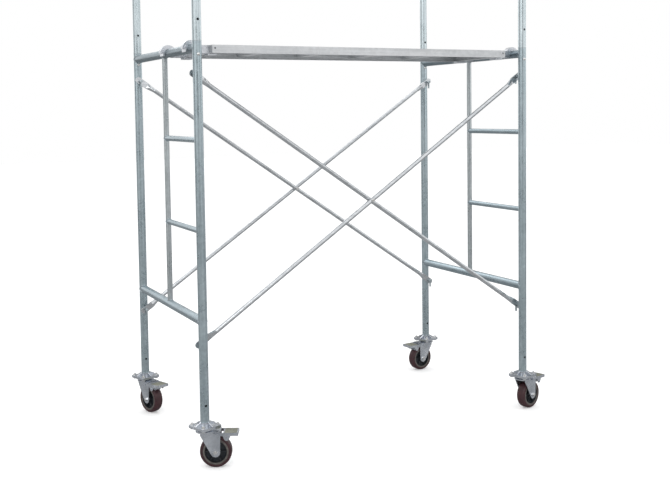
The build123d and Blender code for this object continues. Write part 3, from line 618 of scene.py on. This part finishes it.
bolt_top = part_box("plate_bolts")[1][2]
bolt_row = (-BOLT_SPACING / 2, BOLT_SPACING / 2)
thread_places = []
for post in posts.values():
    stand = Matrix.Translation((post.x, post.y, bolt_top - BOLT_SHOWS))
    stand = stand @ Matrix.Rotation(PLATE_TURN, 4, "Z")
    thread_places += [stand @ Matrix.Translation((x, y, 0)) for x in bolt_row for y in bolt_row]
threads = set_out(thread(BOLT_R, BOLT_SHOWS, THREAD_PITCH), thread_places)
done(threads, "plate_bolt_threads", "frame", bright_fastener, 30)


# The plank's rivets and tread buttons

HOOK_SPACING = 350 * MM               # between the two hooks at one end of the plank
SIDE_RIVET_INSET = 14 * MM            # from the deck's end
SIDE_RIVET_RISE = 4 * MM              # above the deck's middle
HOOK_RIVET_INSETS = (13 * MM, 27 * MM)
HOOK_RIVET_ASIDE = 13 * MM            # from the hook's middle
RIVET_R = 4.5 * MM
RIVET_HEIGHT = 2.2 * MM
RIVET_ROOT = 0.4 * MM                 # of a rivet's head, sunk in the sheet
BUTTON_PITCH = Vector((47 * MM, 42 * MM))
BUTTON_MARGIN = Vector((100 * MM, 40 * MM))  # both edges of the deck together

deck_mid, deck_half = middle("plank_deck")
deck_top = deck_mid.z + deck_half.z


def rivet_head():
    """A round rivet head on the XY plane."""
    angles = [math.pi / 2 * n / 4 for n in range(4)]
    curve = [(RIVET_R * math.cos(angle), RIVET_HEIGHT * math.sin(angle)) for angle in angles]
    return turned([(0.0, -RIVET_ROOT), (RIVET_R, -RIVET_ROOT)] + curve + [(0.0, RIVET_HEIGHT)], steps=20)


def plank_rivet_places():
    """One rivet in each end of the deck's sides, and four through the deck over each hook."""
    spots = []
    for way in (-1, 1):
        for out in (-ACROSS, ACROSS):
            spot = (way * (deck_half.x - SIDE_RIVET_INSET), deck_mid.y + out.y * deck_half.y,
                    deck_mid.z + SIDE_RIVET_RISE)
            spots.append(axes(ALONG, out.cross(ALONG), out, spot))
        for hook in (-HOOK_SPACING / 2, HOOK_SPACING / 2):
            for inset in HOOK_RIVET_INSETS:
                for aside in (-HOOK_RIVET_ASIDE, HOOK_RIVET_ASIDE):
                    spot = (way * (deck_half.x - inset), deck_mid.y + hook + aside, deck_top)
                    spots.append(Matrix.Translation(spot))
    return spots


def button_places():
    """The tread's buttons, in rows along the deck. Every second row stands half a pitch along."""
    columns = int((2 * deck_half.x - BUTTON_MARGIN.x) / BUTTON_PITCH.x)
    rows = int((2 * deck_half.y - BUTTON_MARGIN.y) / BUTTON_PITCH.y)
    spots = []
    for row in range(rows + 1):
        for column in range(columns + 1 - row % 2):
            x = (column - columns / 2 + 0.5 * (row % 2)) * BUTTON_PITCH.x
            y = deck_mid.y + (row - rows / 2) * BUTTON_PITCH.y
            spots.append(Matrix.Translation((x, y, deck_top)))
    return spots


def tread_button():
    """A pressed button of the deck's tread: a low dome with a dished middle."""
    return turned([(0.0, -0.3 * MM), (8.5 * MM, -0.3 * MM), (7.4 * MM, 0.7 * MM), (5.6 * MM, 1.4 * MM),
                   (3.6 * MM, 1.1 * MM), (0.0, 0.7 * MM)], steps=12)


rivets = set_out(rivet_head(), plank_rivet_places())
done(rivets, "plank_rivets", "plank", near_black_rivet, 50)
buttons = set_out(tread_button(), button_places())
done(buttons, "plank_tread_buttons", "plank", plank_zinc, 60)


# Pedal grips

PAD_SIZE = (58 * MM, 68 * MM, 1.4 * MM)
PAD_REACH = 122 * MM                  # from the swivel axis to the pad's middle
GRIP_RIB_SIZE = (4 * MM, 60 * MM, 2.4 * MM)
GRIP_RIB_REACH = 102 * MM             # from the swivel axis to the first rib
GRIP_RIB_RISE = 0.4 * MM
GRIP_RIB_PITCH = 10 * MM
GRIP_RIB_COUNT = 5

pedal_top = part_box("front_left_brake_pedal")[1][2]


def pedal_grip():
    """The painted tread of a pedal: a thin pad with pressed ribs across it."""
    pad = block(PAD_SIZE, Vector((PAD_REACH, 0, pedal_top)), 0.5 * MM)
    first_rib = Vector((GRIP_RIB_REACH, 0, pedal_top + GRIP_RIB_RISE))
    rib = block(GRIP_RIB_SIZE, first_rib, 1.1 * MM, 3)
    row = [Matrix.Translation((n * GRIP_RIB_PITCH, 0, 0)) for n in range(GRIP_RIB_COUNT)]
    return joined([pad, set_out(rib, row)])


grip_pattern = pedal_grip()
for corner, place in places.items():
    grip, pedal = copy_at(grip_pattern, place), f"{corner}_pedal"
    done(grip, f"{corner}_pedal_grip", pedal, grip_olive, 50)
scrap(grip_pattern)


# Floor, light and camera

FLOOR_SIZE = 60
YARD_GREY = (0.33, 0.335, 0.34)
FLOOR_GLOW = (0.22, 0.22, 0.22)       # keeps the far floor as white as the backdrop
WINDOW_COUNT = 4.0
WINDOW_TURN = math.radians(20)        # of the windows' wave, at +X
CAMERA_PLACE = Vector((-2.3719, -4.7898, 1.6392))
CAMERA_AHEAD = Vector((0.44749, 0.8923, -0.05965))
CAMERA_UP = Vector((0.03843, 0.04745, 0.99813))
CAMERA_LENS = 52.73                   # in mm, on a sensor 36 mm wide
CAMERA_SHIFT = (0.0, -0.1194)


def floor():
    """Plain white, with soft shadows; in reflections a mid grey, as a yard is."""
    start_fresh()
    bpy.ops.mesh.primitive_plane_add(size=FLOOR_SIZE, location=(0, 0, 0))
    ground = bpy.context.object
    ground.name = "floor"
    finish, tree, shader, coords = new_finish("floor_white")
    soft = noise(tree, coords, 0.6, 2.0)
    plain = ramp(tree, soft, (0.3, (0.93, 0.935, 0.94)), (0.7, (0.95, 0.95, 0.95)))
    path = tree.nodes.new("ShaderNodeLightPath")
    reflected = path.outputs["Is Glossy Ray"]
    tree.links.new(blend_colours(tree, reflected, plain, YARD_GREY), shader.inputs["Base Color"])
    shader.inputs["Roughness"].default_value = 0.8
    shader.inputs["Specular IOR Level"].default_value = 0.1
    glow = blend_colours(tree, reflected, FLOOR_GLOW, (0.0, 0.0, 0.0))
    tree.links.new(glow, shader.inputs["Emission Color"])
    shader.inputs["Emission Strength"].default_value = 1.0
    ground.data.materials.append(finish)


def softbox(name, place, target, size, power):
    lamp = bpy.data.lights.new(name, "AREA")
    lamp.shape = "RECTANGLE"
    lamp.size, lamp.size_y = size
    lamp.energy = power
    stand = bpy.data.objects.new(name, lamp)
    stand.location = place
    stand.rotation_euler = (Vector(target) - Vector(place)).to_track_quat("-Z", "Y").to_euler()
    bpy.context.scene.collection.objects.link(stand)


def surroundings():
    """White to the eye and to dull surfaces; in reflections, bright windows with dark walls between."""
    world = bpy.data.worlds.new("studio")
    world.use_nodes = True
    tree = world.node_tree
    backdrop = tree.nodes["Background"]
    coords = tree.nodes.new("ShaderNodeTexCoord")
    parts = tree.nodes.new("ShaderNodeSeparateXYZ")
    tree.links.new(coords.outputs["Generated"], parts.inputs["Vector"])
    around = arithmetic(tree, "ARCTAN2", parts.outputs["Y"], parts.outputs["X"])
    waves = arithmetic(tree, "MULTIPLY", around, WINDOW_COUNT)
    waves = arithmetic(tree, "SINE", arithmetic(tree, "ADD", waves, WINDOW_TURN), 0.0)
    windows = span(tree, waves, 0.34, 1.12, -0.7, 0.8)
    above = span(tree, parts.outputs["Z"], 0.3, 1.15, 0.2, 0.9)
    mirrored = arithmetic(tree, "MAXIMUM", windows, above)
    path = tree.nodes.new("ShaderNodeLightPath")
    glossy = tree.nodes.new("ShaderNodeMix")
    glossy.data_type = "FLOAT"
    tree.links.new(path.outputs["Is Glossy Ray"], glossy.inputs["Factor"])
    glossy.inputs["A"].default_value = 1.0
    tree.links.new(mirrored, glossy.inputs["B"])
    backdrop.inputs["Color"].default_value = (1.0, 1.0, 1.0, 1)
    tree.links.new(glossy.outputs["Result"], backdrop.inputs["Strength"])
    bpy.context.scene.world = world


def camera():
    eye = bpy.data.cameras.new("camera")
    eye.sensor_width = 36
    eye.lens = CAMERA_LENS
    eye.shift_x, eye.shift_y = CAMERA_SHIFT
    eye.clip_end = 200
    stand = bpy.data.objects.new("camera", eye)
    stand.matrix_world = axes(CAMERA_AHEAD.cross(CAMERA_UP), CAMERA_UP, -CAMERA_AHEAD, CAMERA_PLACE)
    bpy.context.scene.collection.objects.link(stand)
    bpy.context.scene.camera = stand


floor()
surroundings()
softbox("key_light", (-3.5, -4.5, 4.5), (0, 0, 1.0), (3.0, 3.0), 60)
softbox("fill_light", (4.5, -2.5, 2.8), (0, 0, 1.0), (2.5, 3.5), 20)
softbox("back_light", (0.5, 5.0, 4.0), (0, 0, 1.2), (4.0, 2.0), 35)
camera()
bpy.context.scene.view_settings.view_transform = "Standard"
